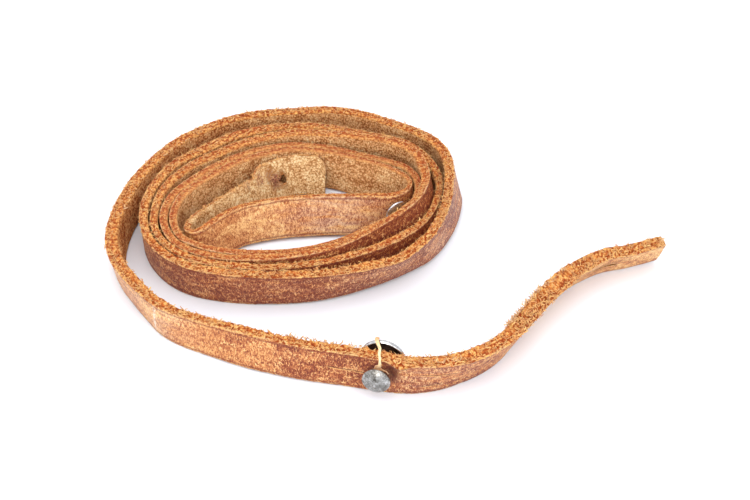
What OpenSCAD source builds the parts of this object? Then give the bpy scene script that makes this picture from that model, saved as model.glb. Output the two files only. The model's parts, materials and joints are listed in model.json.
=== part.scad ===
// A flat leather strap lying on its edge in a loose coil, with a button stud near each end.
// The strap stands on its lower cut edge. Its grain side faces out of the coil, and its flesh
// side faces in. Z is up and the ground is z = 0. Millimetres.

/* [Strap] */
// Usual width of the strap, which is its height as it stands on edge
strap_w = 10; // [9:0.1:10.4]
// Usual thickness of the strap where its turns lie side by side
strap_t = 2.2; // [1.8:0.05:2.2]
// Rings of the solid for each point of the route
rings_per_point = 2; // [1:1:3]

/* [Button holes] */
// Diameter of the punched button hole near each end
button_hole_d = 2.6; // [1.8:0.1:3.2]
// Length of the slit that runs along the strap from a button hole
slit_l = 6; // [3:0.5:9]
// Width of that slit
slit_w = 0.5; // [0.3:0.1:1]

/* [Studs] */
// Diameter of a stud's domed head
head_d = 6.5; // [5:0.1:6.6]
// Height of a head, from its flat underside to the top of its dome
head_h = 1.5; // [1.3:0.1:2.4]
// Diameter of the neck that turns in the strap
neck_d = 2.4; // [2:0.1:3.4]
// Diameter of the tail stud's base disc
tail_base_d = 10.8; // [9:0.1:10.8]
// Diameter of the inner stud's base disc, which has to fit inside the strap's bend
inner_base_d = 5.2; // [4.4:0.1:5.2]
// Thickness of a base disc at its rim
base_h = 1.2; // [1:0.1:1.4]
// Depth of the dish in the side of a base disc that faces the strap
dish_depth = 0.4; // [0.2:0.1:0.6]
// Diameter of the screw that holds a base disc on its neck
screw_d = 1.4; // [1:0.1:1.4]
// Width of the screwdriver slot across a base disc
slot_w = 1; // [0.6:0.1:1.2]

/* [Hidden] */
$fn = 64;

// Where the strap's middle line passes, from its inner end to its free end: [x, y]
route = [
    // folded tab inside the coil (points 0 to 11)
    [-15, 27.2], [-19.5, 28], [-24.5, 27.4], [-29.5, 24], [-33.5, 20], [-38.5, 15],
    [-42.8, 10.5], [-46, 6.4], [-47.6, 3], [-47.7, 0.3], [-46.4, -1.5], [-44.5, -1.1],
    // front of the fold, which carries the inner stud, and its hidden right end (12 to 23)
    [-42, 1], [-39, 4], [-34.5, 7.2], [-26.5, 9.8], [-17.5, 11], [-8.5, 11.4],
    [-2.5, 12], [1.5, 12.6], [4.9, 14.4], [6.7, 17.3], [6.2, 20.4], [3.1, 22.9],
    // first turn: back and left (24 to 35)
    [-2, 25.6], [-7.5, 28], [-13.5, 30.5], [-19.5, 31.9], [-24.5, 32], [-30, 30.4],
    [-35.5, 27.6], [-40.5, 23.9], [-45.5, 19], [-49.5, 13.5], [-51.1, 9], [-51.5, 4.5],
    // first turn: front and right (36 to 53)
    [-50.8, 0.5], [-48.8, -3.6], [-45.4, -6.2], [-41, -8.2], [-35.5, -9.2], [-29.5, -9.6],
    [-23.5, -9.2], [-17.6, -8], [-12.7, -6.2], [-8.4, -3.9], [-4.9, -1.3], [-0.7, 1.8],
    [3.3, 4.8], [6.9, 8.7], [8.9, 13.5], [9, 18.6], [7.3, 22.8], [4.1, 25.7],
    // second turn: back and left (54 to 65)
    [-0.9, 28], [-6.7, 30.3], [-12.8, 32.7], [-19, 34.2], [-24.8, 34.4], [-31, 32.8],
    [-36.8, 29.8], [-42, 25.9], [-47.3, 20.6], [-51.6, 14.6], [-53.4, 9.5], [-53.8, 4.5],
    // second turn: front and right (66 to 84)
    [-52.9, 0], [-50.5, -5], [-46.6, -8.3], [-41.7, -10.4], [-36.5, -11.6], [-30.5, -12.1],
    [-24.5, -11.9], [-18.6, -10.9], [-13.2, -9.3], [-8.4, -6.8], [-4, -3.8], [0.8, -0.3],
    [4.6, 3.2], [8, 7.3], [10.5, 12.6], [11.1, 18.6], [10, 23.4], [8.1, 28.4], [4.1, 32.5],
    // third turn: back and left (85 to 96)
    [-1.5, 35.1], [-9, 36.9], [-16, 38.2], [-23, 39], [-30, 37.9], [-36.5, 35.1],
    [-43, 30.8], [-49, 25.5], [-53.5, 19], [-55.7, 13], [-56.3, 7], [-55.8, 1.2],
    // third turn: front and right (97 to 114)
    [-53.8, -3.9], [-50.2, -8.4], [-45.7, -11.6], [-40.5, -13.4], [-34, -14.5],
    [-27.5, -14.9], [-20.5, -14.1], [-13.5, -12.3], [-7.2, -9.4], [-1.4, -6.2],
    [3.9, -2.6], [8.8, 1.8], [12.1, 7.4], [13.7, 13], [14.4, 18.7], [13.9, 24.6],
    [10.8, 30.3], [6.2, 34.7],
    // fourth turn: back and left (115 to 126)
    [0.3, 37.7], [-6.5, 39.8], [-13.5, 42], [-20.5, 43.3], [-27.5, 43], [-34, 41.3],
    [-40.5, 37.9], [-47, 32.5], [-53, 26.7], [-56.5, 20], [-58.5, 13.5], [-59, 7],
    // fourth turn: front and right (127 to 146)
    [-58.1, 1], [-55.8, -5], [-51.7, -10.3], [-46.2, -14.2], [-40, -16.2], [-32.5, -17.3],
    [-24.5, -17.6], [-16.5, -16.9], [-9.4, -15.2], [-3.2, -12.9], [2.1, -10.3], [6.5, -6.6],
    [10.4, -2.3], [13.4, 3.4], [15.6, 9.7], [16.8, 16.2], [17.3, 22.5], [16.1, 29.5],
    [12.8, 35.7], [7.3, 41],
    // outermost run: back and left (147 to 162)
    [0.5, 45.3], [-7, 49.3], [-14.5, 51], [-22.5, 50.6], [-30.5, 49.7], [-38.5, 47.4],
    [-47, 42], [-54.5, 34.5], [-59.7, 25], [-63.3, 15.5], [-65.2, 5.5], [-65.3, -3.5],
    [-63.3, -10.7], [-60, -17], [-55.7, -23.3], [-52, -28],
    // free tail, which carries the outer stud (163 to 182)
    [-47.3, -31.4], [-40, -35.1], [-30.5, -39.3], [-19.5, -42.9], [-9.5, -45], [-2.5, -46.7],
    [4.5, -48.3], [11, -48], [17, -46], [22.5, -42.5], [27, -37.7], [30.7, -31.5],
    [34.3, -25.5], [38.5, -20], [43, -14.3], [47.7, -10], [52.5, -7], [58, -5.5],
    [62.5, -3.7], [66.5, -2]
];

// How far the top of the strap leans out of the coil, in degrees: [point, lean]
leans = [
    [0, 31], [2, 28], [5, 24], [7, 10], [11, -6], [13, -15], [15, -22], [16, -22], [17, -18],
    [19, -4], [21, -8], [22, -6], [24, 12], [26, 13], [28, 10], [32, 3], [35, 3], [38, 4.5],
    [40, 4], [42, 1], [44, -4], [46, -9], [48, -15], [49, -17], [50, -16], [51, -10], [52, -1],
    [53, 9], [55, 13], [56, 13], [58, 10], [62, 3], [64, 3], [68, 6], [70, 6], [72, 3.5],
    [74, -1], [75, -1], [76, -3], [77, -9], [79, -17], [80, -17], [82, -8], [84, 0], [86, 5],
    [87, 5], [89, 0], [94, 0], [97, 6], [100, 8], [101, 8], [103, 6], [104, 6], [106, 8],
    [107, 4], [108, -4], [109, -11], [110, -14], [112, -12], [113, -4], [115, 2], [117, 4],
    [120, -3], [123, 0], [125, 0], [127, 4.5], [128, 8], [132, 9], [134, 12], [136, 22],
    [137, 25], [138, 19], [139, 9], [140, 0], [142, -12], [143, -14], [145, -4], [146, 0],
    [154, 0], [157, 4], [159, 13], [160, 14], [161, 10], [163, 0], [165, -6], [168, 0],
    [171, 22], [173, 26], [174.5, 32], [177, 33], [179, 30], [180, 30], [182, 26]
];

// How far the lower edge is off the ground: [point, height]
lifts = [
    [0, 0.3], [1, 0.3], [5, 0], [69, 0], [73, 0.8], [77, 2], [83, 2], [91, 0], [132, 0],
    [137, 1], [143, 1], [148, 0], [178, 0], [182, 0.6]
];

// Thickness of the strap over its usual one: [point, difference]
thick = [
    [0, -0.6], [2, -0.2], [5, 0], [9, -0.4], [11, -0.3], [14, 0.1], [19, 0.2], [20, -0.4],
    [21, -0.9], [23, -0.9], [25, 0.1], [26, -0.1], [28, 0.1], [32, 0.1], [35, -0.1], [37, -0.3], [39, -0.2],
    [41, -0.1], [46, -0.1], [48, -0.2], [51, -0.2], [53, 0], [64, 0], [67, -0.3], [70, -0.1],
    [76, -0.1], [78, 0.1], [80, 0], [82, 0.3], [86, 0.5], [91, 0.6], [94, 0], [97, -0.3],
    [100, -0.1], [108, -0.1], [109, -0.3], [111, -0.3], [112, 0], [115, 0.4], [121, 0.8],
    [125, 0.1], [128, -0.1], [131, 0.1], [140, 0.2], [146, 0.6], [150, 0.6], [156, 1],
    [159, 1], [162, 0.5], [163, 0.4], [168, 0.8], [172, 1.2], [174.5, 1.7], [177, 1.2], [182, 0.6]
];

// Width of the strap over its usual one: [point, difference]
wide = [
    [0, 0.1], [3.3, 0.1], [3.6, -1.9], [6, -2.2], [8, -1.5], [10, -0.2], [12, 0], [14, 0.2],
    [17, 0.2], [19, 0], [20, -0.2], [22, -0.2], [23, 0], [36, 0],
    [47, -0.5], [49, -0.8], [51, -0.8], [53, -0.5], [65, 0], [103, 0], [105, -0.4],
    [108, -0.4], [111, -1.8], [112, -1.8], [114, 0], [132, 0], [137, -1], [139, -0.8],
    [143, 0], [156, 0], [162, -0.7], [165, -0.5], [167, -0.4], [168, -0.1], [171, 0],
    [178, -0.4], [182, -1.6]
];

// Where the studs and the button holes sit, as places along the route
tail_stud_at = 168.15;
inner_stud_at = 19.25;
tail_hole_at = 179.3;
inner_hole_at = 2.2;

// Heading of each stud's neck, out of the grain side, and its height over the ground
tail_stud_turn = -102;
tail_stud_z = 5.5;
inner_stud_turn = -64;
inner_stud_z = 5.7;

// Reach of each stud from the strap's middle line: to its head, and back to its base disc
tail_head_reach = 3.7;
tail_base_reach = 3;
inner_head_reach = 1.6;
inner_base_reach = 2.2;

neck_gap = 0.05;      // between a neck and the hole that it turns in
screw_gap = 0.02;     // between a screw and its socket
head_edge = 0.4;      // height of a head's upright rim
rim_w = 0.5;          // width of the rim around a base disc's dish
slot_depth = 0.5;
socket_l = 3;         // depth of the socket in a neck
screw_l = 2.6;        // length of the screw in that socket
cut = 20;             // length of a cutter that passes through the strap
last = len(route) - 1;

// The strap's middle line, as a smooth curve through the points of the route
function spline(a, b, c, d, t) = 0.5 * (2 * b + (c - a) * t + (2 * a - 5 * b + 4 * c - d) * t * t
    + (3 * b - a - 3 * c + d) * t * t * t);
function point(i) = i < 0 ? 2 * route[0] - route[1] : i > last ? 2 * route[last] - route[last - 1]
    : route[i];
function way(u) = let (i = min(max(floor(u), 0), last - 1))
    spline(point(i - 1), point(i), point(i + 1), point(i + 2), u - i);

// Directions of the strap at a place: along it, out of the coil, up its width, out of its face
function along(u) = let (d = way(u + 0.02) - way(u - 0.02)) d / norm(d);
function outward(u) = let (d = along(u)) [d.y, -d.x, 0];
function lean(u) = lookup(u, leans);
function upward(u) = cos(lean(u)) * [0, 0, 1] + sin(lean(u)) * outward(u);
function face(u) = cos(lean(u)) * outward(u) - sin(lean(u)) * [0, 0, 1];

// Size and middle of the strap at a place
function width(u) = strap_w + lookup(u, wide);
function thickness(u) = strap_t + lookup(u, thick);
function middle(u) = let (p = way(u)) [p.x, p.y,
    width(u) / 2 * cos(lean(u)) + thickness(u) / 2 * abs(sin(lean(u))) + lookup(u, lifts)];
function ring(u) = let (a = upward(u) * width(u) / 2, b = face(u) * thickness(u) / 2, m = middle(u))
    [m + a + b, m + a - b, m - a - b, m - a + b];

module ribbon() {
    steps = last * rings_per_point;
    points = [for (k = [0:steps]) each ring(k / rings_per_point)];
    sides = [for (k = [0:steps - 1], s = [0:3])
        let (a = 4 * k + s, b = 4 * k + (s + 1) % 4)
        each [[a, b, b + 4], [a, b + 4, a + 4]]];
    ends = [[0, 3, 2, 1], [4 * steps, 4 * steps + 1, 4 * steps + 2, 4 * steps + 3]];
    polyhedron(points, concat(sides, ends));
}

// Stands its child's Z axis on a heading in the ground plane
module heading(x, y, z, turn) {
    translate([x, y, z]) rotate([0, 90, turn]) children();
}

module at_stud(u, turn, z) {
    heading(way(u).x, way(u).y, z, turn) children();
}

// Stands its child's Z axis out of the strap's face, with its X axis down the width
module on_face(u) {
    turn = atan2(outward(u).y, outward(u).x);
    translate(middle(u)) rotate([0, 90 + lean(u), turn]) children();
}

module button_hole(u, way_out) {
    on_face(u) {
        cylinder(d = button_hole_d, h = cut / 4, center = true);
        translate([0, way_out * slit_l / 2, 0])
            cube([slit_w, slit_l, cut / 4], center = true);
    }
}

module neck_hole(u, turn, z) {
    at_stud(u, turn, z) cylinder(d = neck_d + 2 * neck_gap, h = cut / 4, center = true);
}

module strap() {
    color("peru") difference() {
        ribbon();
        neck_hole(tail_stud_at, tail_stud_turn, tail_stud_z);
        neck_hole(inner_stud_at, inner_stud_turn, inner_stud_z);
        button_hole(tail_hole_at, -1);
        button_hole(inner_hole_at, 1);
    }
}

// A domed head on its neck. The neck's end has the socket for the base disc's screw.
module stud_head(head_reach, base_reach) {
    dome_h = head_h - head_edge;
    dome_r = (head_d * head_d / 4 + dome_h * dome_h) / (2 * dome_h);
    difference() {
        union() {
            translate([0, 0, -base_reach]) cylinder(d = neck_d, h = base_reach + head_reach);
            translate([0, 0, head_reach]) cylinder(d = head_d, h = head_edge);
            intersection() {
                translate([0, 0, head_reach + head_h - dome_r]) sphere(r = dome_r, $fn = 96);
                translate([0, 0, head_reach + head_edge]) cylinder(d = head_d, h = dome_h + 1);
            }
        }
        translate([0, 0, -base_reach - 1]) cylinder(d = screw_d, h = socket_l + 1);
    }
}

// A dished disc with the screw that holds it, and a slot for a screwdriver
module stud_base(base_reach, base_d) {
    translate([0, 0, -base_reach - base_h]) difference() {
        union() {
            difference() {
                cylinder(d = base_d, h = base_h);
                difference() {
                    translate([0, 0, base_h - dish_depth])
                        cylinder(d = base_d - 2 * rim_w, h = base_h);
                    cylinder(d = neck_d + 1, h = 2 * base_h);
                }
            }
            cylinder(d = screw_d - 2 * screw_gap, h = base_h + screw_l);
        }
        translate([-base_d / 4, -slot_w / 2, -1]) cube([base_d / 2, slot_w, 1 + slot_depth]);
    }
}

module tail_stud_head() {
    color("silver") at_stud(tail_stud_at, tail_stud_turn, tail_stud_z)
        stud_head(tail_head_reach, tail_base_reach);
}

module tail_stud_base() {
    color("gray") at_stud(tail_stud_at, tail_stud_turn, tail_stud_z)
        stud_base(tail_base_reach, tail_base_d);
}

module inner_stud_head() {
    color("silver") at_stud(inner_stud_at, inner_stud_turn, inner_stud_z)
        stud_head(inner_head_reach, inner_base_reach);
}

module inner_stud_base() {
    color("gray") at_stud(inner_stud_at, inner_stud_turn, inner_stud_z)
        stud_base(inner_base_reach, inner_base_d);
}

strap();
tail_stud_head();
tail_stud_base();
inner_stud_head();
inner_stud_base();
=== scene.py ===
# A flat leather strap that lies on its edge in a loose coil, with a button stud near each end.
import itertools
import json
import math

import bmesh
import bpy
import numpy as np
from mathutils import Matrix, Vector


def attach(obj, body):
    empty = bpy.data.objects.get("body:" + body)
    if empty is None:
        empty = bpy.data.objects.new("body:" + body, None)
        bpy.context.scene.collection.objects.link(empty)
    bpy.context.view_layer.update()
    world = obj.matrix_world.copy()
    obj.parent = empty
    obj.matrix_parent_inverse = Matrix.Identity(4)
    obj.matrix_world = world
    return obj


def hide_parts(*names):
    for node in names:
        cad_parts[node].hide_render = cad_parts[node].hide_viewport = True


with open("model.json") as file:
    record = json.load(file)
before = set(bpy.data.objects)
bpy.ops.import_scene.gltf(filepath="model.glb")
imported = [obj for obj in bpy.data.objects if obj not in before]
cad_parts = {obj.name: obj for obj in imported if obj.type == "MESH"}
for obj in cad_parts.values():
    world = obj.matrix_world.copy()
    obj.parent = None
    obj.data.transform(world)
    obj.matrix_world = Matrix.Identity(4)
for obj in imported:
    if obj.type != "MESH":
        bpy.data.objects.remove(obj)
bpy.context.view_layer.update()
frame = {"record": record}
joints = {joint["name"]: joint for joint in frame["record"]["behaviour"]["joints"]}

MM = 0.001
SEED = 20

# ---------------------------------------------------------------- the strap's route
# The same route as the CAD model's, in millimetres: where the strap's middle line passes,
# from its inner end to its free end.
ROUTE = np.array([
    # folded tab inside the coil (points 0 to 11)
    [-15, 27.2], [-19.5, 28], [-24.5, 27.4], [-29.5, 24], [-33.5, 20], [-38.5, 15],
    [-42.8, 10.5], [-46, 6.4], [-47.6, 3], [-47.7, 0.3], [-46.4, -1.5], [-44.5, -1.1],
    # front of the fold, which carries the inner stud, and its hidden right end (12 to 23)
    [-42, 1], [-39, 4], [-34.5, 7.2], [-26.5, 9.8], [-17.5, 11], [-8.5, 11.4],
    [-2.5, 12], [1.5, 12.6], [4.9, 14.4], [6.7, 17.3], [6.2, 20.4], [3.1, 22.9],
    # first turn: back and left (24 to 35)
    [-2, 25.6], [-7.5, 28], [-13.5, 30.5], [-19.5, 31.9], [-24.5, 32], [-30, 30.4],
    [-35.5, 27.6], [-40.5, 23.9], [-45.5, 19], [-49.5, 13.5], [-51.1, 9], [-51.5, 4.5],
    # first turn: front and right (36 to 53)
    [-50.8, 0.5], [-48.8, -3.6], [-45.4, -6.2], [-41, -8.2], [-35.5, -9.2], [-29.5, -9.6],
    [-23.5, -9.2], [-17.6, -8], [-12.7, -6.2], [-8.4, -3.9], [-4.9, -1.3], [-0.7, 1.8],
    [3.3, 4.8], [6.9, 8.7], [8.9, 13.5], [9, 18.6], [7.3, 22.8], [4.1, 25.7],
    # second turn: back and left (54 to 65)
    [-0.9, 28], [-6.7, 30.3], [-12.8, 32.7], [-19, 34.2], [-24.8, 34.4], [-31, 32.8],
    [-36.8, 29.8], [-42, 25.9], [-47.3, 20.6], [-51.6, 14.6], [-53.4, 9.5], [-53.8, 4.5],
    # second turn: front and right (66 to 84)
    [-52.9, 0], [-50.5, -5], [-46.6, -8.3], [-41.7, -10.4], [-36.5, -11.6], [-30.5, -12.1],
    [-24.5, -11.9], [-18.6, -10.9], [-13.2, -9.3], [-8.4, -6.8], [-4, -3.8], [0.8, -0.3],
    [4.6, 3.2], [8, 7.3], [10.5, 12.6], [11.1, 18.6], [10, 23.4], [8.1, 28.4], [4.1, 32.5],
    # third turn: back and left (85 to 96)
    [-1.5, 35.1], [-9, 36.9], [-16, 38.2], [-23, 39], [-30, 37.9], [-36.5, 35.1],
    [-43, 30.8], [-49, 25.5], [-53.5, 19], [-55.7, 13], [-56.3, 7], [-55.8, 1.2],
    # third turn: front and right (97 to 114)
    [-53.8, -3.9], [-50.2, -8.4], [-45.7, -11.6], [-40.5, -13.4], [-34, -14.5],
    [-27.5, -14.9], [-20.5, -14.1], [-13.5, -12.3], [-7.2, -9.4], [-1.4, -6.2],
    [3.9, -2.6], [8.8, 1.8], [12.1, 7.4], [13.7, 13], [14.4, 18.7], [13.9, 24.6],
    [10.8, 30.3], [6.2, 34.7],
    # fourth turn: back and left (115 to 126)
    [0.3, 37.7], [-6.5, 39.8], [-13.5, 42], [-20.5, 43.3], [-27.5, 43], [-34, 41.3],
    [-40.5, 37.9], [-47, 32.5], [-53, 26.7], [-56.5, 20], [-58.5, 13.5], [-59, 7],
    # fourth turn: front and right (127 to 146)
    [-58.1, 1], [-55.8, -5], [-51.7, -10.3], [-46.2, -14.2], [-40, -16.2], [-32.5, -17.3],
    [-24.5, -17.6], [-16.5, -16.9], [-9.4, -15.2], [-3.2, -12.9], [2.1, -10.3], [6.5, -6.6],
    [10.4, -2.3], [13.4, 3.4], [15.6, 9.7], [16.8, 16.2], [17.3, 22.5], [16.1, 29.5],
    [12.8, 35.7], [7.3, 41],
    # outermost run: back and left (147 to 162)
    [0.5, 45.3], [-7, 49.3], [-14.5, 51], [-22.5, 50.6], [-30.5, 49.7], [-38.5, 47.4],
    [-47, 42], [-54.5, 34.5], [-59.7, 25], [-63.3, 15.5], [-65.2, 5.5], [-65.3, -3.5],
    [-63.3, -10.7], [-60, -17], [-55.7, -23.3], [-52, -28],
    # free tail, which carries the outer stud (163 to 182)
    [-47.3, -31.4], [-40, -35.1], [-30.5, -39.3], [-19.5, -42.9], [-9.5, -45], [-2.5, -46.7],
    [4.5, -48.3], [11, -48], [17, -46], [22.5, -42.5], [27, -37.7], [30.7, -31.5],
    [34.3, -25.5], [38.5, -20], [43, -14.3], [47.7, -10], [52.5, -7], [58, -5.5],
    [62.5, -3.7], [66.5, -2],
])
LAST = len(ROUTE) - 1

# How far the top of the strap leans out of the coil, in degrees: [point, lean]
LEANS = [
    [0, 31], [2, 28], [5, 24], [7, 10], [11, -6], [13, -15], [15, -22], [16, -22], [17, -18],
    [19, -4], [21, -8], [22, -6], [24, 12], [26, 13], [28, 10], [32, 3], [35, 3], [38, 4.5],
    [40, 4], [42, 1], [44, -4], [46, -9], [48, -15], [49, -17], [50, -16], [51, -10], [52, -1],
    [53, 9], [55, 13], [56, 13], [58, 10], [62, 3], [64, 3], [68, 6], [70, 6], [72, 3.5],
    [74, -1], [75, -1], [76, -3], [77, -9], [79, -17], [80, -17], [82, -8], [84, 0], [86, 5],
    [87, 5], [89, 0], [94, 0], [97, 6], [100, 8], [101, 8], [103, 6], [104, 6], [106, 8],
    [107, 4], [108, -4], [109, -11], [110, -14], [112, -12], [113, -4], [115, 2], [117, 4],
    [120, -3], [123, 0], [125, 0], [127, 4.5], [128, 8], [132, 9], [134, 12], [136, 22],
    [137, 25], [138, 19], [139, 9], [140, 0], [142, -12], [143, -14], [145, -4], [146, 0],
    [154, 0], [157, 4], [159, 13], [160, 14], [161, 10], [163, 0], [165, -6], [168, 0],
    [171, 22], [173, 26], [174.5, 32], [177, 33], [179, 30], [180, 30], [182, 26],
]
# How far its lower edge is off the ground, in millimetres: [point, height]
LIFTS = [
    [0, 0.3], [1, 0.3], [5, 0], [69, 0], [73, 0.8], [77, 2], [83, 2], [91, 0], [132, 0],
    [137, 1], [143, 1], [148, 0], [178, 0], [182, 0.6],
]
# Its thickness over the usual one, and its width over the usual one: [point, difference]
STRAP_T, STRAP_W = 2.2, 10
THICK = [
    [0, -0.6], [2, -0.2], [5, 0], [9, -0.4], [11, -0.3], [14, 0.1], [19, 0.2], [20, -0.4],
    [21, -0.9], [23, -0.9], [25, 0.1], [26, -0.1], [28, 0.1], [32, 0.1], [35, -0.1],
    [37, -0.3], [39, -0.2], [41, -0.1], [46, -0.1], [48, -0.2], [51, -0.2], [53, 0],
    [64, 0], [67, -0.3], [70, -0.1],
    [76, -0.1], [78, 0.1], [80, 0], [82, 0.3], [86, 0.5], [91, 0.6], [94, 0], [97, -0.3],
    [100, -0.1], [108, -0.1], [109, -0.3], [111, -0.3], [112, 0], [115, 0.4], [121, 0.8],
    [125, 0.1], [128, -0.1], [131, 0.1], [140, 0.2], [146, 0.6], [150, 0.6], [156, 1],
    [159, 1], [162, 0.5], [163, 0.4], [168, 0.8], [172, 1.2], [174.5, 1.7], [177, 1.2],
    [182, 0.6],
]
WIDE = [
    [0, 0.1], [3.3, 0.1], [3.6, -1.9], [6, -2.2], [8, -1.5], [10, -0.2], [12, 0], [14, 0.2],
    [17, 0.2], [19, 0], [20, -0.2], [22, -0.2], [23, 0], [36, 0],
    [47, -0.5], [49, -0.8], [51, -0.8], [53, -0.5], [65, 0], [103, 0], [105, -0.4],
    [108, -0.4], [111, -1.8], [112, -1.8], [114, 0], [132, 0], [137, -1], [139, -0.8],
    [143, 0], [156, 0], [162, -0.7], [165, -0.5], [167, -0.4], [168, -0.1], [171, 0],
    [178, -0.4], [182, -1.6],
]
# How ragged its cut edges are, from 0 to 1: [point, amount]
RAGGED = [
    [0, 0.8], [6, 0.7], [10, 0.3], [13, 0.15], [22, 0.15], [30, 0.2], [60, 0.25], [80, 0.4],
    [96, 0.6], [115, 0.6], [127, 0.7], [137, 0.9], [146, 0.7], [162, 0.8], [168, 1], [182, 1],
]
# How orange and open its cut edges are, from 0, smooth and pinkish, to 1: [point, amount]
OPEN = [
    [0, 0.8], [8, 0.7], [13, 0.75], [19, 0.75], [24, 0.1], [40, 0.25], [54, 0.2], [66, 0.4],
    [84, 0.6], [97, 0.8], [127, 0.9], [182, 1],
]
# How dark its grain side is: the leather's own tone, plus painted shade from point 46 to 116 on the
# turns' outer faces hidden in the coil's right side, heaviest at 76 to 83 and 107 to 113: [point,
# amount]
DARK_AND_SHADE = [
    [0, 0.4], [11, 0.45], [13, 0.3], [15, 0.15], [17, 0.3], [18.6, 0.6], [20, 0.7], [46, 0.7],
    [52, 0.9], [73, 1], [76, 1.5], [83, 1.5], [86, 0.9], [104, 1], [107, 1.5], [113, 1.5],
    [116, 0.9], [126, 0.6], [128, 0.85], [134, 1], [138, 1], [142, 0.8], [146, 0.55], [158, 0.3],
    [162, 0.1], [164, 0.3], [165, 0.65], [166, 0.9], [168, 1], [170, 0.8], [172, 0.6],
    [175, 0.15], [182, 0],
]
# How pale its flesh side is: [point, amount]
PALE = [
    [0, 1], [9, 0.9], [12, 0.3], [24, 0.5], [40, 0.5], [54, 0.5], [90, 0.4], [110, 0.2],
    [147, 0.35], [153, 0.2], [158, 0], [182, 0.2],
]
# How much pale grey sheen is painted on its grain side, standing for the reflection of the white
# surroundings: [point, amount]
GREY_SHEEN = [
    [0, 0.2], [13, 0.1], [15, 0.3], [16.5, 0.8], [18.6, 0.35], [20, 0], [124, 0.1],
    [126, 0.5], [129, 0.2], [134, 0.3],
    [137, 0.6], [140, 0.6], [146, 0.45], [158, 0.45], [162, 0.6], [164, 0.1], [168, 0.2],
    [169.5, 0.5], [172, 0.2], [182, 0.15],
]


def lookup(profile, u):
    points, values = zip(*profile)
    return np.interp(u, points, values)


def way(u):
    """The strap's middle line over the ground, at places u along the route (Catmull-Rom)."""
    ends = 2 * ROUTE[[0, -1]] - ROUTE[[1, -2]]
    points = np.vstack([ends[:1], ROUTE, ends[1:]])
    i = np.clip(np.floor(u).astype(int), 0, LAST - 1)
    t = (u - i)[:, None]
    a, b, c, d = (points[i + k] for k in range(4))
    return 0.5 * (2 * b + (c - a) * t + (2 * a - 5 * b + 4 * c - d) * t**2
                  + (3 * b - a - 3 * c + d) * t**3)


def strap_frame(u):
    """Middle of the strap's section at places u, with its directions, width and thickness."""
    u = np.atleast_1d(np.asarray(u, float))
    tangent = way(u + 0.02) - way(u - 0.02)
    tangent /= np.linalg.norm(tangent, axis=1)[:, None]
    flat = np.zeros(len(u))
    along = np.column_stack([tangent, flat])
    outward = np.column_stack([tangent[:, 1], -tangent[:, 0], flat])
    lean = np.radians(lookup(LEANS, u))[:, None]
    up = np.array([0, 0, 1.0])
    upward = np.cos(lean) * up + np.sin(lean) * outward
    face = np.cos(lean) * outward - np.sin(lean) * up
    width, thickness = STRAP_W + lookup(WIDE, u), STRAP_T + lookup(THICK, u)
    height = width / 2 * np.cos(lean[:, 0]) + thickness / 2 * np.abs(np.sin(lean[:, 0]))
    middle = np.column_stack([way(u), height + lookup(LIFTS, u)])
    return middle, along, upward, face, width, thickness


def even_places(spacing):
    """Places along the route that are an even distance apart, and their distances."""
    u = np.linspace(0, LAST, LAST * 60 + 1)
    steps = np.linalg.norm(np.diff(strap_frame(u)[0], axis=0), axis=1)
    reach = np.concatenate([[0], np.cumsum(steps)])
    distance = np.linspace(0, reach[-1], round(reach[-1] / spacing) + 1)
    return np.interp(distance, reach, u), distance


def on_strap(u, across, height):
    """Points on or over the strap, in millimetres. across and height are from its middle."""
    middle, _, upward, face, _, _ = strap_frame(u)
    return middle + upward * np.reshape(height, (-1, 1)) + face * np.reshape(across, (-1, 1))


PLACES, DISTANCES = even_places(1)


def distance_of(u):
    """How far along the strap a place on the route is, in millimetres."""
    return float(np.interp(u, PLACES, DISTANCES))


# Where the outer stud, the free end and a kink in the tail are: on the route and along the strap
TAIL_STUD = np.array(joints["tail_stud_spin"]["pos_m"]) / MM
STUD_U = PLACES[np.argmin(np.linalg.norm(strap_frame(PLACES)[0] - TAIL_STUD, axis=1))]
KINK_U = 161.8
STUD_S, END_S, KINK_S = distance_of(STUD_U), distance_of(LAST), distance_of(KINK_U)
# Creases in the grain side: start and end along the strap, height at each, and half width
CREASES = [
    (STUD_S - 13, STUD_S - 2.4, 0.5, 0.1, 0.16), (STUD_S + 8, STUD_S + 17, 1.7, 1.2, 0.14),
    (STUD_S + 8, STUD_S + 14, -2.4, -2, 0.14), (END_S - 26, END_S - 15, -0.6, 1.4, 0.2),
    (END_S - 19, END_S - 7, 0.8, 2, 0.16), (END_S - 34, END_S - 22, 1, 0.2, 0.2),
]


# ---------------------------------------------------------------- noise for shapes
TABLE = np.random.default_rng(SEED).uniform(-1, 1, 65536)


def rough(points, size, seed=0, layers=1):
    """Smooth noise from -1 to 1 at points, with lumps of that size."""
    total, share = 0, 0
    for layer in range(layers):
        p = points * 2**layer / size + 17.3 * seed
        cell = np.floor(p).astype(np.int64)
        f = p - cell
        f = f * f * (3 - 2 * f)
        value = np.zeros(len(p))
        for corner in itertools.product((0, 1), repeat=3):
            c = cell + corner
            mark = (c[:, 0] * 73856093) ^ (c[:, 1] * 19349663) ^ (c[:, 2] * 83492791)
            weight = np.prod(np.where(corner, f, 1 - f), axis=1)
            value += weight * TABLE[(mark + seed * 7919 + layer * 104729) & 65535]
        total, share = total + value / 2**layer, share + 1 / 2**layer
    return total / share


# ---------------------------------------------------------------- materials
def paint(red, green, blue):
    """A colour given in ordinary 0 to 255 steps, as the shaders need it."""
    linear = [c / 12.92 if c <= 0.04045 else ((c + 0.055) / 1.055) ** 2.4
              for c in (red / 255, green / 255, blue / 255)]
    return (*linear, 1)


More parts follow.
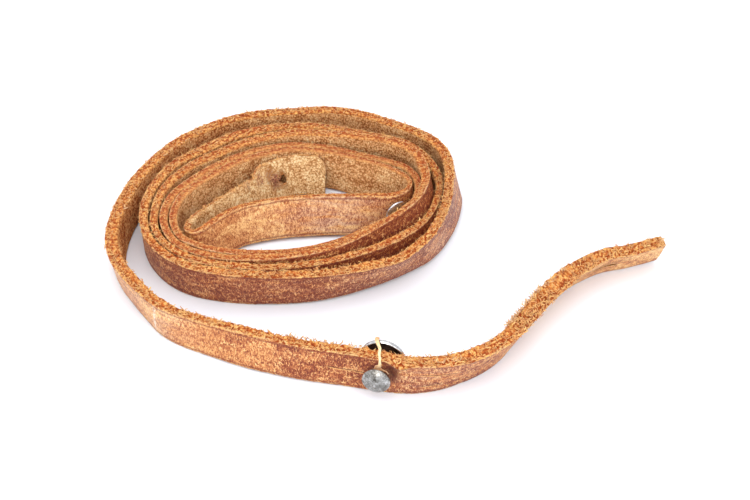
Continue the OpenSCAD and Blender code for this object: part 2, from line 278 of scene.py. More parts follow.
class Finish:
    """A procedural material, with short ways to add nodes to it."""

    def __init__(self, name, **shader):
        self.material = bpy.data.materials.new(name)
        self.material.use_nodes = True
        self.tree = self.material.node_tree
        self.shader = self.tree.nodes["Principled BSDF"]
        for key, value in shader.items():
            self.shader.inputs[key.replace("_", " ")].default_value = value

    def node(self, kind, sockets, output=0, **settings):
        node = self.tree.nodes.new("ShaderNode" + kind)
        for key, value in settings.items():
            setattr(node, key, value)
        for key, value in sockets.items():
            if isinstance(value, bpy.types.NodeSocket):
                self.tree.links.new(value, node.inputs[key])
            else:
                node.inputs[key].default_value = value
        return node.outputs[output]

    def attribute(self, name, output="Fac"):
        return self.node("Attribute", {}, output, attribute_name=name)

    def coordinates(self):
        return self.node("TexCoord", {}, "Object")

    def scaled(self, vector, scale):
        return self.node("Mapping", {"Vector": vector, "Scale": scale})

    def noise(self, vector, scale, detail=3, roughness=0.55, distortion=0):
        return self.node("TexNoise", {
            "Vector": vector, "Scale": scale, "Detail": detail, "Roughness": roughness,
            "Distortion": distortion}, "Fac")

    def cells(self, vector, scale, feature="DISTANCE_TO_EDGE"):
        return self.node("TexVoronoi", {"Vector": vector, "Scale": scale}, "Distance",
                         feature=feature)

    def warped(self, vector, scale, amount):
        shift = self.node("TexNoise", {"Vector": vector, "Scale": scale, "Detail": 2}, "Color")
        shift = self.node("VectorMath", {0: shift, 1: (0.5, 0.5, 0.5)}, operation="SUBTRACT")
        shift = self.node("VectorMath", {0: shift, "Scale": amount}, operation="SCALE")
        return self.node("VectorMath", {0: vector, 1: shift}, operation="ADD")

    def between(self, value, low, high, out_low=0, out_high=1):
        return self.node("MapRange", {
            "Value": value, "From Min": low, "From Max": high, "To Min": out_low,
            "To Max": out_high})

    def swing(self, value, amount, low=0.3):
        """Takes noise between low and 1 - low to between -amount and amount."""
        return self.between(value, low, 1 - low, -amount, amount)

    def math(self, operation, a, b=0):
        return self.node("Math", {0: a, 1: b}, operation=operation)

    def plus(self, a, b):
        return self.math("ADD", a, b)

    def times(self, a, b):
        return self.math("MULTIPLY", a, b)

    def ramp(self, value, stops):
        """Colours along a value: [(place, (red, green, blue) in 0 to 255 steps)]."""
        out = self.node("ValToRGB", {"Fac": value})
        elements = out.node.color_ramp.elements
        while len(elements) < len(stops):
            elements.new(0.5)
        for element, (position, colour) in zip(elements, stops):
            element.position, element.color = position, paint(*colour)
        return out

    def mix(self, factor, a, b):
        return self.node("Mix", {0: factor, 6: a, 7: b}, 2, data_type="RGBA")

    def bump(self, height, distance, strength):
        return self.node("Bump", {"Height": height, "Distance": distance, "Strength": strength})

    def crease(self, s, t, start, end, t_start, t_end, width):
        """1 along a line that runs from start to end in s, while t goes from t_start to t_end."""
        middle = self.between(s, start, end, t_start, t_end)
        off = self.math("ABSOLUTE", self.math("SUBTRACT", t, middle))
        line = self.between(off, width, width * 0.4)
        fade = min(1.5, (end - start) / 4)
        line = self.times(line, self.between(s, start, start + fade))
        return self.times(line, self.between(s, end, end - fade))

    def connect(self, **sockets):
        for key, value in sockets.items():
            self.tree.links.new(value, self.shader.inputs[key.replace("_", " ")])
        return self.material


def grain_leather():
    """The smooth side: finely crackled, darker by the dark attribute, which holds the leather's own
    tone and painted shade, with a painted pale grey sheen.
    """
    f = Finish("leather_grain", Specular_IOR_Level=0.35)
    place, dark, grey = f.attribute("place", "Vector"), f.attribute("dark"), f.attribute("grey")
    rim, torn_and_shade = f.attribute("rim"), f.attribute("torn_and_shade")
    patch = f.noise(f.scaled(place, (0.5, 1, 1)), 0.22, 4, 0.55, 0.3)
    streak = f.noise(f.scaled(f.warped(place, 0.4, 1), (0.14, 1, 1)), 0.8, 4, 0.6)
    upright = f.scaled(f.warped(place, 1.1, 0.9), (1.1, 0.5, 1))
    speck = f.noise(upright, 2.3, 5, 0.76, 0.5)
    fine = f.noise(place, 4.5, 2, 0.6)
    # dark holds the leather's own tone and the painted shade on the hidden faces of the coil's right
    # side
    depth = f.plus(dark, f.swing(patch, 0.36, 0.35))
    depth = f.plus(depth, f.swing(streak, 0.14, 0.35))
    # a net of fine creases: pale where the leather is dark, dark where it is pale
    net = f.between(f.cells(upright, 1.8), 0.15, 0.02)
    net = f.times(net, f.between(f.noise(place, 0.8, 2), 0.4, 0.58, 0.15, 1))
    value = f.plus(f.swing(speck, 0.38, 0.36), f.swing(fine, 0.16))
    value = f.plus(value, f.between(depth, 0, 1, 0.8, 0.08))
    value = f.plus(value, f.times(net, f.between(depth, 0.2, 0.7, -0.3, 0.56)))
    colour = f.ramp(value, [
        (0, (112, 42, 20)), (0.22, (150, 72, 38)), (0.42, (186, 108, 60)),
        (0.6, (216, 146, 86)), (0.78, (236, 180, 116)), (1, (250, 214, 152))])
    # painted sheen: a pale lilac-grey reflection painted along the streaks
    painted_sheen = f.times(f.between(streak, 0.36, 0.6), f.between(grey, 0.1, 1, 0, 0.75))
    colour = f.mix(painted_sheen, colour, f.ramp(value, [
        (0.1, (136, 86, 68)), (0.5, (200, 160, 142)), (0.8, (228, 202, 182))]))
    # a pressed line inside each edge, and a pale line painted along the edge's corner as a highlight
    line = f.plus(rim, f.swing(f.noise(place, 0.5, 2), 0.02))
    pressed = f.times(f.between(line, 0.8, 0.86), f.between(line, 0.92, 0.88))
    colour = f.mix(f.times(pressed, 0.65), colour, paint(132, 58, 34))
    # painted highlight along the grain side's corners
    colour = f.mix(f.between(line, 0.93, 0.98, 0, 0.75), colour, paint(222, 166, 102))
    # creases round the outer stud and at the free end: painted shade in each fold, and a painted
    # highlight on its lip just below
    xyz = f.node("SeparateXYZ", {"Vector": f.warped(place, 0.7, 0.8)})
    s, up = xyz, xyz.node.outputs[1]
    folds, lit_lips, under = 0, 0, 0.3
    for start, end, low, high, width in CREASES:
        fold = f.crease(s, up, start, end, low, high, width)
        lip = f.crease(s, up, start, end, low - under, high - under, width)
        folds, lit_lips = f.math("MAXIMUM", folds, fold), f.math("MAXIMUM", lit_lips, lip)
    kink = f.crease(up, s, -4.6, 4.6, KINK_S - 0.5, KINK_S + 0.8, 0.55)
    # painted highlight on the lips, then painted shade in the folds
    colour = f.mix(f.times(lit_lips, 0.7), colour, paint(228, 172, 104))
    colour = f.mix(f.times(folds, 0.85), colour, paint(88, 34, 22))
    colour = f.mix(f.times(kink, f.between(speck, 0.4, 0.55)), colour, paint(244, 222, 200))
    # dark torn fibre round the inner hole, and painted shade in the hollow beside the outer stud
    colour = f.mix(f.times(torn_and_shade, f.between(speck, 0.4, 0.54, 0.55, 0.95)), colour,
                   paint(84, 24, 10))
    height = f.math("SUBTRACT", f.math("SUBTRACT", value, pressed), folds)
    roughness = f.between(f.plus(speck, f.times(grey, -0.2)), 0.2, 0.7, 0.38, 0.62)
    return f.connect(Base_Color=colour, Roughness=roughness, Normal=f.bump(height, 0.0002, 0.8))


def crumbs_of(f, place, scale):
    """Granular fibre: 1 on the crumbs' tops down to 0 in the pits between them, which the materials
    paint as highlight on the tops and shade in the pits.
    """
    loose = f.warped(place, 1.6, 0.5)
    top = f.between(f.cells(loose, scale, "F1"), 0.75, 0.1)
    fine = f.noise(loose, scale * 1.9, 4, 0.7, 0.6)
    return f.plus(f.times(top, 0.5), f.between(fine, 0.3, 0.7, 0, 0.5))


def edge_leather():
    """A cut edge: an open fibrous layer on the flesh side and a denser one under the grain."""
    f = Finish("leather_edge", Roughness=0.8, Specular_IOR_Level=0.2)
    place, layer = f.attribute("place", "Vector"), f.attribute("layer")
    openness = f.attribute("open")
    crumb = crumbs_of(f, place, 1.4)
    streak = f.noise(f.scaled(f.warped(place, 1, 0.5), (0.3, 1, 1)), 2.4, 3, 0.6)
    wander = f.plus(layer, f.swing(f.noise(place, 0.5, 2), 0.12))
    # the pale stops next to the grain side paint a highlight on its corner
    orange = f.ramp(wander, [
        (0, (228, 158, 88)), (0.3, (220, 132, 64)), (0.58, (206, 110, 50)),
        (0.66, (158, 78, 34)), (0.74, (200, 110, 54)), (0.9, (202, 116, 62)),
        (0.96, (238, 190, 132)), (1, (242, 198, 140))])
    pink = f.ramp(wander, [
        (0, (222, 158, 100)), (0.3, (208, 124, 72)), (0.56, (186, 98, 56)),
        (0.64, (138, 62, 34)), (0.72, (190, 98, 58)), (0.88, (204, 114, 72)),
        (0.95, (240, 186, 136)), (1, (240, 196, 158))])
    colour = f.mix(openness, pink, orange)
    blend = f.plus(crumb, f.swing(streak, 0.15))
    strength = f.between(openness, 0, 1, 0.45, 1)
    # painted highlight on the crumbs' tops and painted shade in the pits between them
    tops = f.times(f.between(blend, 0.5, 0.68), strength)
    pits = f.times(f.between(blend, 0.42, 0.24), strength)
    colour = f.mix(pits, f.mix(tops, colour, paint(250, 196, 116)), paint(158, 66, 24))
    return f.connect(Base_Color=colour, Normal=f.bump(blend, 0.0006, 0.9))


def flesh_leather():
    """The inner side: pale brown suede."""
    f = Finish("leather_flesh", Roughness=0.95, Specular_IOR_Level=0.1)
    place, pale, torn_and_shade = f.attribute("place", "Vector"), f.attribute("pale"), f.attribute("torn_and_shade")
    crumb = crumbs_of(f, place, 1.9)
    cloud = f.noise(place, 0.3, 3, 0.5)
    value = f.plus(crumb, f.swing(cloud, 0.14))
    # paler on the crumbs' tops and darker in their pits: painted highlight and painted shade
    brown = f.ramp(value, [(0.2, (152, 78, 34)), (0.4, (206, 128, 70)),
                           (0.56, (234, 166, 104)), (0.76, (252, 208, 146))])
    tan = f.ramp(value, [(0.2, (172, 114, 66)), (0.4, (220, 170, 116)),
                         (0.56, (241, 200, 146)), (0.76, (253, 230, 184))])
    colour = f.mix(pale, brown, tan)
    # darker torn fibre round the inner hole, and painted shade where the outer stud's hollow reaches
    colour = f.mix(f.times(torn_and_shade, f.between(crumb, 0.3, 0.5, 0.2, 1)), colour,
                   paint(128, 52, 30))
    return f.connect(Base_Color=colour, Normal=f.bump(value, 0.0006, 0.8))


def torn_shaded_leather():
    """The walls of a hole and its slit: reddish torn fibre, darkened with painted shade inside the
    hole.
    """
    f = Finish("leather_torn_shaded", Roughness=0.85)
    fibre = f.noise(f.scaled(f.coordinates(), (1, 1, 0.4)), 2400, 4, 0.7, 0.5)
    colour = f.ramp(fibre, [(0.35, (54, 20, 10)), (0.55, (112, 46, 24)), (0.72, (176, 92, 54))])
    return f.connect(Base_Color=colour, Normal=f.bump(fibre, 0.0004, 0.8))


def fibre_leather(name, dark, light):
    """Loose fibres and slivers, each with its own shade."""
    f = Finish(name, Roughness=0.7, Sheen_Weight=0.15)
    shade = f.attribute("shade")
    grain = f.noise(f.coordinates(), 1800, 3, 0.6)
    value = f.plus(shade, f.swing(grain, 0.2))
    colour = f.ramp(value, [(0, dark), (1, light)])
    return f.connect(Base_Color=colour, Normal=f.bump(grain, 0.0002, 0.6))


def worn_nickel():
    """The outer stud's domed head: dull nickel plate, finely pitted and stained."""
    f = Finish("worn_nickel", Metallic=1)
    at = f.coordinates()
    mottle = f.noise(f.warped(at, 500, 0.001), 600, 5, 0.7, 0.4)
    fine = f.noise(at, 2600, 3, 0.7)
    value = f.plus(mottle, f.swing(fine, 0.09))
    colour = f.ramp(value, [(0.26, (62, 58, 53)), (0.42, (112, 108, 102)),
                            (0.6, (172, 169, 165)), (0.76, (226, 224, 221))])
    roughness = f.between(mottle, 0.3, 0.7, 0.4, 0.24)
    normal = f.bump(value, 0.00004, 0.4)
    return f.connect(Base_Color=colour, Roughness=roughness, Normal=normal)


def painted_lit_plate():
    """Plate painted brighter as a highlight: the rims of the base discs, and the inner stud's head.
    """
    f = Finish("painted_lit_plate", Metallic=1)
    at = f.coordinates()
    wear = f.noise(at, 1100, 4, 0.6)
    colour = f.ramp(wear, [(0.35, (170, 170, 172)), (0.65, (232, 232, 234))])
    return f.connect(Base_Color=colour, Roughness=f.between(wear, 0.3, 0.7, 0.3, 0.14),
                     Normal=f.bump(wear, 0.0002, 0.2))


def shaded_dish():
    """The dished side of a base disc: dark brown painted over the plate as shade, and as the
    reflection of the shaded leather that it faces.
    """
    f = Finish("shaded_dish", Metallic=0.6)
    mottle = f.noise(f.warped(f.coordinates(), 500, 0.001), 600, 4, 0.65)
    colour = f.ramp(mottle, [(0.3, (44, 30, 24)), (0.55, (78, 58, 48)), (0.75, (124, 104, 92))])
    return f.connect(Base_Color=colour, Roughness=f.between(mottle, 0.3, 0.7, 0.55, 0.35),
                     Normal=f.bump(mottle, 0.0002, 0.4))


def pale_floor():
    """The studio's plain floor."""
    f = Finish("pale_floor", Roughness=0.9)
    grain = f.noise(f.coordinates(), 60, 3)
    return f.connect(Base_Color=f.ramp(grain, [(0, (238, 244, 253)), (1, (242, 247, 255))]))


# ---------------------------------------------------------------- meshes
def mesh_piece(name, points, faces, materials, values=None, face_materials=None, smooth=True):
    """A mesh object from points in millimetres. values are per-point attributes by name."""
    mesh = bpy.data.meshes.new(name)
    mesh.from_pydata((np.asarray(points) * MM).tolist(), [], faces)
    for material in materials:
        mesh.materials.append(material)
    if face_materials is not None:
        mesh.polygons.foreach_set("material_index", np.asarray(face_materials, np.int32))
    mesh.polygons.foreach_set("use_smooth", np.full(len(mesh.polygons), smooth))
    for key, value in (values or {}).items():
        value = np.asarray(value, np.float32)
        kind, field = ("FLOAT", "value") if value.ndim == 1 else ("FLOAT_VECTOR", "vector")
        mesh.attributes.new(key, kind, "POINT").data.foreach_set(field, value.ravel())
    mesh.validate()
    mesh.update()
    piece = bpy.data.objects.new(name, mesh)
    bpy.context.scene.collection.objects.link(piece)
    return piece


def grid_faces(rings, sides):
    """Quads between closed rings of points, each ring with that many points."""
    ring = np.arange(rings - 1)[:, None] * sides
    side = np.arange(sides)[None, :]
    a, b = ring + side, ring + (side + 1) % sides
    return np.stack([a, b, b + sides, a + sides], axis=-1).reshape(-1, 4)


# ---------------------------------------------------------------- camera and light
def make_camera():
    """The eye is 38 degrees above the ground, in front of the tail."""
    elevation, distance = math.radians(38), 0.463
    target = Vector((-0.0025, 0.0035, 0))
    data = bpy.data.cameras.new("camera")
    data.lens, data.sensor_width = 90, 36
    data.clip_start, data.clip_end = 0.01, 10
    camera = bpy.data.objects.new("camera", data)
    back = Vector((0, -math.cos(elevation), math.sin(elevation)))
    camera.location = target + back * distance
    camera.rotation_euler = (-back).to_track_quat("-Z", "Y").to_euler()
    bpy.context.scene.collection.objects.link(camera)
    bpy.context.scene.camera = camera


def make_light(name, place, size, power):
    """A round soft light that faces the strap."""
    data = bpy.data.lights.new(name, "AREA")
    data.shape, data.size, data.energy = "DISK", size, power
    light = bpy.data.objects.new(name, data)
    light.location = place
    light.rotation_euler = (-Vector(place)).to_track_quat("-Z", "Y").to_euler()
    bpy.context.scene.collection.objects.link(light)


def make_studio():
    """An even white sky, two soft lights from above, a small low one for the metal, and a floor."""
    scene = bpy.context.scene
    scene.view_settings.view_transform = "Standard"
    world = bpy.data.worlds.new("studio")
    world.use_nodes = True
    background = world.node_tree.nodes["Background"]
    background.inputs["Color"].default_value = (1, 1, 1, 1)
    background.inputs["Strength"].default_value = 1.12
    scene.world = world
    make_light("key", (-0.15, 0.05, 0.65), 0.8, 1.5)
    make_light("fill", (0.15, -0.45, 0.5), 0.7, 1.7)
    make_light("glint", (-0.15, -0.58, 0.2), 0.22, 1)
    half, below = 3, 0.00005
    corners = [[-half, -half, 0], [half, -half, 0], [half, half, 0], [-half, half, 0]]
    floor = mesh_piece("floor", np.array(corners) / MM, [(0, 1, 2, 3)], [pale_floor()])
    floor.location.z = -below


# ---------------------------------------------------------------- the strap
RING_GAP = 0.4  # between the rings of its mesh
CORNER_R = 4  # of the folded end's upper corner
SUEDE_TO = 8  # the place on the route up to which the suede wraps over the upper edge
GRAIN_R, FLESH_R = 0.22, 0.42  # of the section's corners
NECK_HOLE_R = 1.25  # of the hole that a stud's neck turns in
CUT_DEPTH = 2.6  # how far a hole's cutter reaches to each side of the strap's middle


def section():
    """The strap's section, once round from the foot of the grain side.

    Each point is [across as a share of the half thickness, its millimetres, up as a share of
    the half width, its millimetres], and kind says which surface starts there."""
    def corner(across, up, radius, angles):
        return [[across, across * radius * (math.cos(a) - 1), up, up * radius * (math.sin(a) - 1)]
                for a in angles]

    quarter = [0, math.pi / 4, math.pi / 2]
    corners = [
        corner(1, 1, GRAIN_R, quarter), corner(-1, 1, FLESH_R, quarter[::-1]),
        corner(-1, -1, FLESH_R, quarter), corner(1, -1, GRAIN_R, quarter[::-1])]
    runs = [("edge", 9), ("flesh", 5), ("edge", 3), ("grain", 7)]
    points, kinds = [], []
    for here, after, (kind, count) in zip(corners, corners[1:] + corners[:1], runs):
        points += here[:2]
        kinds += ["edge", "edge"]
        for k in range(count):
            share = k / count
            points.append([a + (b - a) * share for a, b in zip(here[2], after[0])])
            kinds.append(kind)
    return np.array(points), kinds


# Each button hole: its place on the route, which way its slit runs, half its length, half its
# height and its slit's length
HOLES = [(2.35, 1, 0.85, 1.1, 3), (179.3, -1, 1.3, 0.35, 6)]


def torn_and_shade_near(flat, hole_s, stud_s):
    """How torn the leather is round the inner button hole, and how much shade is painted in the
    hollow beside the outer stud.
    """
    along, up = flat[:, 0] - hole_s, flat[:, 1]
    hole = np.clip(1.5 - np.hypot((along - 1.6) / 2.2, (up - 0.2) / 1.6), 0, 1)
    way_up = np.clip(1.4 - np.hypot((along - 3.4) / 1.4, (up - 2) / 2.2), 0, 0.7)
    # painted shade in the hollow beside the outer stud
    hollow = np.clip(1.5 - np.hypot((flat[:, 0] - stud_s - 2.7) / 1.6, (up - 1.4) / 2.3), 0, 1)
    return np.maximum(np.maximum(hole, way_up), hollow)


def hole_outline(slit_way, half, rise, slit, rng):
    """A worn hole with a slit that tapers away from it, as [along, up] points."""
    points = []
    for angle in np.radians(np.linspace(35, 325, 22)):
        size = 1 + rng.uniform(-0.12, 0.12)
        points.append([half * math.cos(angle) * size, rise * math.sin(angle) * size])
    reach = np.linspace(half, slit, 8)[1:-1]
    gape = min(rise * 0.5, 0.25)
    lower = [[x, -gape * (1 - (x / slit) ** 2) + rng.uniform(-0.06, 0.06)] for x in reach]
    upper = [[x, gape * (1 - (x / slit) ** 2) + 0.1 + rng.uniform(-0.06, 0.06)]
             for x in reach[::-1]]
    points += lower + [[slit, 0.1]] + upper
    return [[x * slit_way, y] for x, y in points]


def prism(outline, middle, right, up, out, depth):
    """A closed prism round an outline, from depth below a surface to depth over it."""
    shape = np.array([middle + right * x + up * y for x, y in outline])
    count = len(shape)
    points = np.vstack([shape - out * depth, shape + out * depth])
    faces = [list(range(count))[::-1], list(range(count, 2 * count))]
    faces += [[k, (k + 1) % count, (k + 1) % count + count, k + count] for k in range(count)]
    return points, faces


def cut_holes(strap):
    """Cuts the button holes and the holes of the studs' necks."""
    rng = np.random.default_rng(SEED + 2)
    points, faces, material = [], [], torn_shaded_leather()
    prisms = []
    for at, *size in HOLES:
        middle, along, upward, face, _, _ = (x[0] for x in strap_frame(at))
        prisms.append(prism(hole_outline(*size, rng), middle, along, upward, face, CUT_DEPTH))
    circle = [[NECK_HOLE_R * math.cos(a), NECK_HOLE_R * math.sin(a)]
              for a in np.linspace(0, 2 * math.pi, 33)[:-1]]
    for joint in joints.values():
        out, up = np.array(joint["axis"]), np.array([0, 0, 1])
        right = np.array([-out[1], out[0], 0])
        middle = np.array(joint["pos_m"]) / MM
        prisms.append(prism(circle, middle, right, up, out, CUT_DEPTH))
    for corners, sides in prisms:
        faces += [[k + sum(map(len, points)) for k in side] for side in sides]
        points.append(corners)
    cutter = mesh_piece("cutter", np.vstack(points), faces, [material], smooth=False)
    work = bmesh.new()
    work.from_mesh(cutter.data)
    bmesh.ops.recalc_face_normals(work, faces=work.faces)
    work.to_mesh(cutter.data)
    work.free()
    cut = strap.modifiers.new("holes", "BOOLEAN")
    cut.object, cut.operation = cutter, "DIFFERENCE"
    cut.solver, cut.material_mode = "EXACT", "TRANSFER"
    graph = bpy.context.evaluated_depsgraph_get()
    mesh = bpy.data.meshes.new_from_object(strap.evaluated_get(graph))
    strap.modifiers.clear()
    strap.data = mesh
    bpy.data.objects.remove(cutter)


def crumbled(u, distance, place, across, height, width, thickness):
    """Rounds the folded end's upper corner and crumbles the cut edges, most of all on the flesh
    side. It also gives how much each point belongs to the upper edge, and the lumps there."""
    rings, sides = across.shape
    flat = place.reshape(-1, 3)
    back = np.clip(CORNER_R - distance, 0, CORNER_R)
    shorter = CORNER_R - np.sqrt(CORNER_R**2 - back**2)
    height = np.where(height > 0, height * (1 - shorter / (width / 2)), height)
    edge = np.clip((np.abs(height) - (width / 2 - 0.5)) / 0.5, 0, 1) * np.sign(height)
    flesh_side = np.clip(0.5 - across / thickness, 0, 1)
    ragged = lookup(RAGGED, u)[:, None]
    lumps = rough(flat, 1.1, 1, 3).reshape(rings, sides)
    crumbs = rough(flat, 0.45, 2).reshape(rings, sides)
    wave = rough(flat * [1, 0, 0], 6, 3, 2).reshape(rings, sides)
    drop = ragged * (0.55 * lumps + 0.22 * crumbs + 0.35 * wave) * (0.6 + 1.1 * flesh_side)
    groove = np.exp(-((across / thickness - 0.14 - 0.05 * wave) / 0.05) ** 2)
    drop -= groove * (0.1 + 0.12 * ragged)
    drop = np.where(height > 0, drop, np.minimum(-np.abs(drop), 0))
    upper = edge.clip(0, 1)
    return across * (1 + 0.08 * upper), height + edge * drop, upper, lumps


def pulled_by_stud(distance, place, across, height, upper, thickness):
    """Beside the outer stud the upper edge is pulled down over a hollow."""
    out = np.clip(across / thickness * 2, 0, 1)
    beside = distance - STUD_S
    bulge = np.exp(-((beside - 4.6) / 2.2) ** 2)
    high = np.clip((place[..., 1] - 1) / 3.5, 0, 1)
    hollow = np.exp(-((beside - 2.2) / 1.3) ** 2) * np.exp(-((place[..., 1] - 1.6) / 1.9) ** 2)
    across = across + out * (0.9 * bulge * high**2 - 0.9 * hollow)
    return across, height - upper * out * 0.9 * bulge


def uneven(distance, place, across, lumps, thickness):
    """Pulls the flesh side's upper corner loose near the free end, roughens the flesh side and
    dents the grain side. The roughness and the dents only go inwards."""
    flat = place.reshape(-1, 3)
    loose = np.exp(-((distance - distance[-1] + 34) / 11) ** 2)
    back = np.clip(-across / thickness * 2, 0, 1)
    across = across - back * loose * np.clip(place[..., 1] / 4, 0, 1) ** 2 * (1 + 0.5 * lumps)
    nap = rough(flat, 1.4, 4, 2).reshape(across.shape)
    dents = rough(flat * [0.6, 1, 1], 5, 5).reshape(across.shape)
    return across + np.where(across < 0, 0.07 + 0.07 * nap, -0.05 - 0.05 * dents) \
        * np.clip(np.abs(across) / thickness * 2, 0, 1)


def strap_values(u, distance, flat, width, thickness, sides):
    """The attributes that the leather's materials read, for each point of the strap."""
    values = {name: np.repeat(lookup(profile, u), sides) for name, profile in (
        ("open", OPEN), ("dark", DARK_AND_SHADE), ("grey", GREY_SHEEN), ("pale", PALE))}
    return values | {
        "place": flat,
        "layer": np.clip(flat[:, 2] / np.repeat(thickness, sides) + 0.5, 0, 1),
        "rim": np.abs(flat[:, 1]) / np.repeat(width / 2, sides),
        "torn_and_shade": torn_and_shade_near(flat, np.interp(HOLES[0][0], u, distance), STUD_S)}


def make_strap():
    """The whole strap: a worn section swept along the route, with its holes cut."""
    u, distance = even_places(RING_GAP)
    middle, along, upward, face, width, thickness = strap_frame(u)
    shape, kinds = section()
    rings, sides = len(u), len(shape)
    wide, thick, far = width[:, None], thickness[:, None], distance[:, None]
    across = shape[:, 0] * thick / 2 + shape[:, 1]
    height = shape[:, 2] * wide / 2 + shape[:, 3]
    place = np.stack([np.broadcast_to(far, across.shape), height, across], axis=-1)
    across, height, upper, lumps = crumbled(u, far, place, across, height, wide, thick)
    across, height = pulled_by_stud(far, place, across, height, upper, thick)
    across = uneven(far, place, across, lumps, thick)
    points = (middle[:, None] + upward[:, None] * height[..., None]
              + face[:, None] * across[..., None])
    points[..., 2] = np.maximum(points[..., 2], 0.01)
    # the ends are cut square, and a little ragged
    for end, sign in ((0, -1), (-1, 1)):
        shift = rough(place[end], 1.2, 6, 2) * 0.35
        points[end] += sign * along[end] * shift[:, None]
    slots = {"grain": 0, "edge": 1, "flesh": 2}
    face_slots = np.tile([slots[k] for k in kinds], (rings - 1, 1))
    # on the folded end the suede wraps over the upper edge
    wrapped = [k for k in range(sides)
               if kinds[k] == "edge" and shape[k, 2] > 0 and shape[k, 0] < 0.4]
    face_slots[np.ix_(u[:-1] < SUEDE_TO, wrapped)] = slots["flesh"]
    face_slots = np.append(face_slots.ravel(), [slots["edge"]] * 2)
    caps = [list(range(sides)), [(rings - 1) * sides + k for k in reversed(range(sides))]]
    piece = mesh_piece(
        "leather_strap", points.reshape(-1, 3), grid_faces(rings, sides).tolist() + caps,
        [grain_leather(), edge_leather(), flesh_leather()],
        strap_values(u, distance, place.reshape(-1, 3), width, thickness, sides), face_slots)
    cut_holes(piece)
    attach(piece, "strap")
    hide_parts("strap")


# ---------------------------------------------------------------- studs
# The same sizes as the CAD model's, in millimetres
HEAD_D, HEAD_H, HEAD_EDGE, NECK_D, BASE_H = 6.5, 1.5, 0.4, 2.4, 1.2
TAIL_BASE_D, INNER_BASE_D = 10.8, 5.2


def lathe(name, outline, joint, materials, face_slots, dent):
    """Turns an outline of [radius, height] points, in millimetres, round a joint's axis."""
    steps = 72
    angles = np.linspace(0, 2 * math.pi, steps, endpoint=False)
    outline = np.array(outline, float)
    radius, height = outline[:, 0, None], outline[:, 1, None]
    points = np.stack([radius * np.cos(angles), radius * np.sin(angles),
                       height + 0 * angles], axis=-1).reshape(-1, 3)
    points += rough(points, 1.3, 11, 2)[:, None] * dent * np.array([0.5, 0.5, 1])
    spin = joints[joint]
    turn = Vector(spin["axis"]).to_track_quat("Z", "Y").to_matrix()
    points = points @ np.array(turn).T + np.array(spin["pos_m"]) / MM
    faces = grid_faces(len(outline), steps).tolist()
    faces += [list(range(steps))[::-1],
              [(len(outline) - 1) * steps + k for k in range(steps)]]
    slots = np.repeat(face_slots, steps).tolist() + [face_slots[0], face_slots[-1]]
    piece = mesh_piece(name, points, faces, materials, face_materials=slots)
    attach(piece, spin["child"])
    return piece


def rounded(points, radius, steps=4):
    """Rounds the corners of an outline."""
    out = [points[0]]
    for before, here, after in zip(points, points[1:], points[2:]):
        before, here, after = (np.array(p, float) for p in (before, here, after))
        one, two = before - here, after - here
        cut = min(radius, np.linalg.norm(one) * 0.45, np.linalg.norm(two) * 0.45)
        start = here + one / np.linalg.norm(one) * cut
        end = here + two / np.linalg.norm(two) * cut
        for k in range(steps + 1):
            t = k / steps
            out.append(((1 - t) ** 2 * start + 2 * t * (1 - t) * here + t * t * end).tolist())
    return out + [points[-1]]


def make_head(name, joint, node, reach, base_reach, material):
    """A domed head on its neck, with a soft rim."""
    r, top = HEAD_D / 2, reach + HEAD_H
    edge, rise = math.radians(48), HEAD_H - HEAD_EDGE
    dome = [[r * math.sin(a) / math.sin(edge),
             reach + HEAD_EDGE + rise * (math.cos(a) - math.cos(edge)) / (1 - math.cos(edge))]
            for a in np.linspace(edge, 0.02, 16)]
    outline = [[0.3, -base_reach], [NECK_D / 2 - 0.1, -base_reach], [NECK_D / 2, -base_reach + 0.2],
               [NECK_D / 2, reach - 0.15], [NECK_D / 2 + 0.2, reach]]
    outline += rounded([[NECK_D / 2 + 0.4, reach], [r, reach], [r, reach + HEAD_EDGE], dome[1]], 0.3)
    outline += dome[2:] + [[0.03, top]]
    piece = lathe(name, outline, joint, [material], [0] * (len(outline) - 1), 0.05)
    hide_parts(node)


def make_base(name, joint, node, reach, diameter, rim, dish):
    """A base disc with a beaded rim, dished on the side that faces the strap."""
    r, near = diameter / 2, -reach
    far = near - BASE_H
    back = [[0.05, far + 0.15], [r * 0.5, far + 0.1], [r - 0.6, far + 0.05]]
    bead = [[r - 0.3 + 0.3 * math.cos(a), (near + far) / 2 + BASE_H / 2 * math.sin(a)]
            for a in np.radians(np.linspace(-80, 90, 12))]
    inner = [[r - 0.5, near - 0.15], [r - 0.75, near - 0.4], [r * 0.55, near - 0.42],
             [NECK_D / 2 + 0.7, near - 0.38], [NECK_D / 2 + 0.35, near - 0.05],
             [NECK_D / 2, near], [0.05, near]]
    outline = back + bead + inner
    slots = [0] * (len(back) + len(bead)) + [1] * (len(inner) - 1)
    piece = lathe(name, outline, joint, [rim, dish], slots, 0.015)
    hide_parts(node)


def make_studs():
    """Both studs. The inner one's head gets the brighter plate, painted as a highlight."""
    nickel, rim, dish = worn_nickel(), painted_lit_plate(), shaded_dish()
    # how far the head and the base disc are from the strap's middle
    for name, reach, base_reach, diameter, plate in (
            ("tail", 3.7, 3, TAIL_BASE_D, nickel), ("inner", 1.6, 2.2, INNER_BASE_D, rim)):
        joint, node = f"{name}_stud_spin", f"{name}_stud"
        make_head(f"{name}_head", joint, f"{node}_head", reach, base_reach, plate)
        make_base(f"{name}_base", joint, f"{node}_base", base_reach, diameter, rim, dish)


